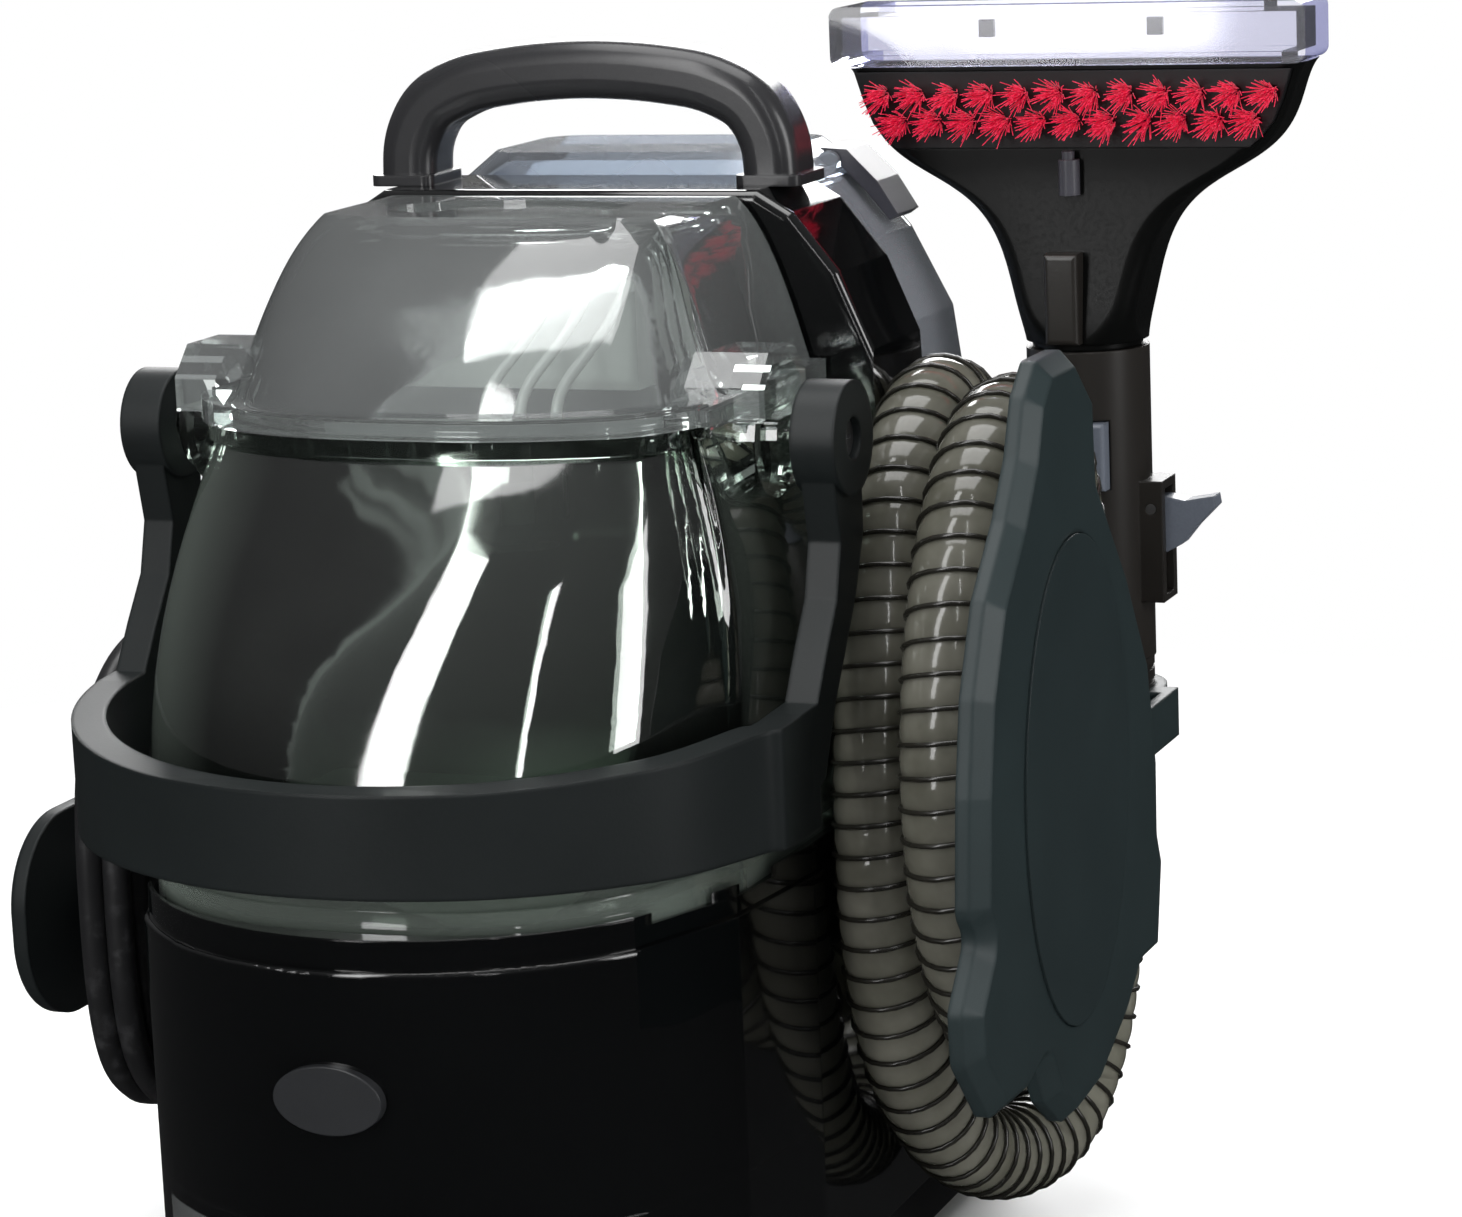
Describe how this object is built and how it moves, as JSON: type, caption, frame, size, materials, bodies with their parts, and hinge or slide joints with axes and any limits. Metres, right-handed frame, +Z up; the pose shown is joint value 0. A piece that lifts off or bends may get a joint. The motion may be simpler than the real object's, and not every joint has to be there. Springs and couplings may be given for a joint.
{
  "type": "spot extractor",
  "caption": "Portable carpet spot extractor with clear recovery tank and lid, swinging carry bail, rear clean-water tank, wound suction hose, wand with wide brush tool, and cord wrap.",
  "frame": {"origin": "centre of the footprint on the floor, under the middle of the machine's box measured without hose and mains lead", "axes": "+Z up, -Y towards the front with the recovery tank, +X towards the hose rack and wand"},
  "size_m": [0.3444, 0.414, 0.349],
  "materials": {
    "black_tray": "fine grain",
    "foot_rubber": "matte",
    "gloss_black": "gloss",
    "smoke_clear": "clear smoke",
    "badge_grey": "satin",
    "charcoal": "fine grain",
    "pale_clear": "clear",
    "seal_grey": "matte",
    "float_white": "satin",
    "screw_steel": "zinc",
    "blue_clear": "clear, faint blue",
    "latch_grey": "satin",
    "motor_steel": "satin",
    "fan_aluminium": "cast",
    "tube_clear": "satin",
    "rack_green_grey": "fine grain",
    "seal_black": "matte",
    "hose_smoke": "translucent smoke",
    "wand_brown": "satin",
    "trigger_blue_grey": "satin",
    "bristle_red": "bristle",
    "cord_black": "satin",
    "pin_brass": "polished"
  },
  "bodies": {
    "machine": {"base_tray": "black_tray", "rubber_feet": "foot_rubber", "front_frame": "gloss_black", "front_window": "smoke_clear", "front_fascia": "gloss_black", "fascia_badge": "badge_grey", "side_panel_left": "gloss_black", "side_panel_right": "gloss_black", "rear_housing": "black_tray", "tank_deck": "gloss_black", "bulkhead": "gloss_black", "carry_handle": "charcoal", "motor_housing": "black_tray", "suction_motor": "motor_steel", "pump": "black_tray", "supply_tube": "tube_clear", "switch_bezel": "black_tray", "hose_rack_hub": "rack_green_grey", "hose_rack_plate": "rack_green_grey", "rack_inlay": "rack_green_grey", "rack_screws": "screw_steel", "hose_cuff": "seal_black", "suction_hose": "hose_smoke", "wand_grip": "wand_brown", "wand_collar": "wand_brown", "wand_clip": "rack_green_grey", "trigger_pin": "screw_steel", "cord_wrap_hub": "black_tray", "cord_coil": "cord_black", "cord_feed": "cord_black", "cord_tail": "cord_black", "strain_relief": "seal_black", "plug_body": "cord_black", "plug_pins": "pin_brass", "case_screws": "screw_steel"},
    "tank": {"recovery_tank": "smoke_clear", "pivot_screws": "screw_steel"},
    "lid": {"recovery_lid": "pale_clear", "lid_gasket": "seal_grey", "baffle_box": "pale_clear", "separator_ducts": "pale_clear", "float_cage": "pale_clear"},
    "float": {"float_ball": "float_white"},
    "bail": {"bail_handle": "charcoal"},
    "clean_tank": {"clean_tank": "blue_clear"},
    "clean_cap": {"clean_tank_cap": "black_tray", "tank_valve": "seal_grey"},
    "clean_latch": {"clean_tank_latch": "latch_grey"},
    "fan": {"fan_impeller": "fan_aluminium"},
    "switch": {"power_switch": "latch_grey"},
    "wrap_flange": {"cord_wrap_flange": "charcoal"},
    "trigger": {"trigger": "trigger_blue_grey"},
    "button": {"release_button": "trigger_blue_grey"},
    "tool": {"tool_body": "gloss_black", "tool_latch": "wand_brown", "brush_block": "black_tray", "bristle_tufts": "bristle_red", "nozzle_window": "pale_clear", "window_clips": "latch_grey", "spray_tip": "latch_grey"}
  },
  "joints": [
    {"name": "recovery_tank_lift", "type": "slide", "parent": "machine", "child": "tank", "axis": [0, 0, 1], "range_m": [0, 0.12]},
    {"name": "recovery_lid_lift", "type": "slide", "parent": "tank", "child": "lid", "axis": [0, 0, 1], "range_m": [0, 0.055]},
    {"name": "float_rise", "type": "slide", "parent": "lid", "child": "float", "axis": [0, 0, 1], "range_m": [0, 0.02]},
    {"name": "bail_swing", "type": "hinge", "parent": "tank", "child": "bail", "pos_m": [-0.0187, -0.0197, 0.248], "axis": [-1, 0, 0], "range_deg": [0, 118]},
    {"name": "clean_tank_pull", "type": "slide", "parent": "machine", "child": "clean_tank", "axis": [0, 1, 0], "range_m": [0, 0.1]},
    {"name": "clean_cap_turn", "type": "hinge", "parent": "clean_tank", "child": "clean_cap", "pos_m": [0.0013, 0.1063, 0.06], "axis": [0, 0, 1], "range_deg": [0, 90]},
    {"name": "clean_latch_flip", "type": "hinge", "parent": "clean_tank", "child": "clean_latch", "pos_m": [0.0333, 0.1163, 0.3055], "axis": [0, -1, 0], "range_deg": [0, 9], "stiffness_Nm_per_rad": 0.15},
    {"name": "fan_spin", "type": "hinge", "parent": "machine", "child": "fan", "pos_m": [-0.0467, -0.0147, 0.086], "axis": [0, 0, 1], "continuous": true},
    {"name": "switch_rock", "type": "hinge", "parent": "machine", "child": "switch", "pos_m": [-0.0587, 0.1333, 0.04], "axis": [1, 0, 0], "range_deg": [0, 5]},
    {"name": "wrap_flange_turn", "type": "hinge", "parent": "machine", "child": "wrap_flange", "pos_m": [-0.1687, 0.0193, 0.102], "axis": [1, 0, 0], "range_deg": [0, 90]},
    {"name": "trigger_squeeze", "type": "hinge", "parent": "machine", "child": "trigger", "pos_m": [0.1238, 0.1213, 0.206], "axis": [0, 1, 0], "range_deg": [0, 12], "stiffness_Nm_per_rad": 0.4, "springref_deg": -1.72},
    {"name": "release_press", "type": "slide", "parent": "machine", "child": "button", "axis": [0, 1, 0], "range_m": [0, 0.0015], "stiffness_N_per_m": 500, "springref_m": -0.0003},
    {"name": "tool_pull_off", "type": "slide", "parent": "machine", "child": "tool", "axis": [0, 0, 1], "range_m": [0, 0.05]}
  ]
}
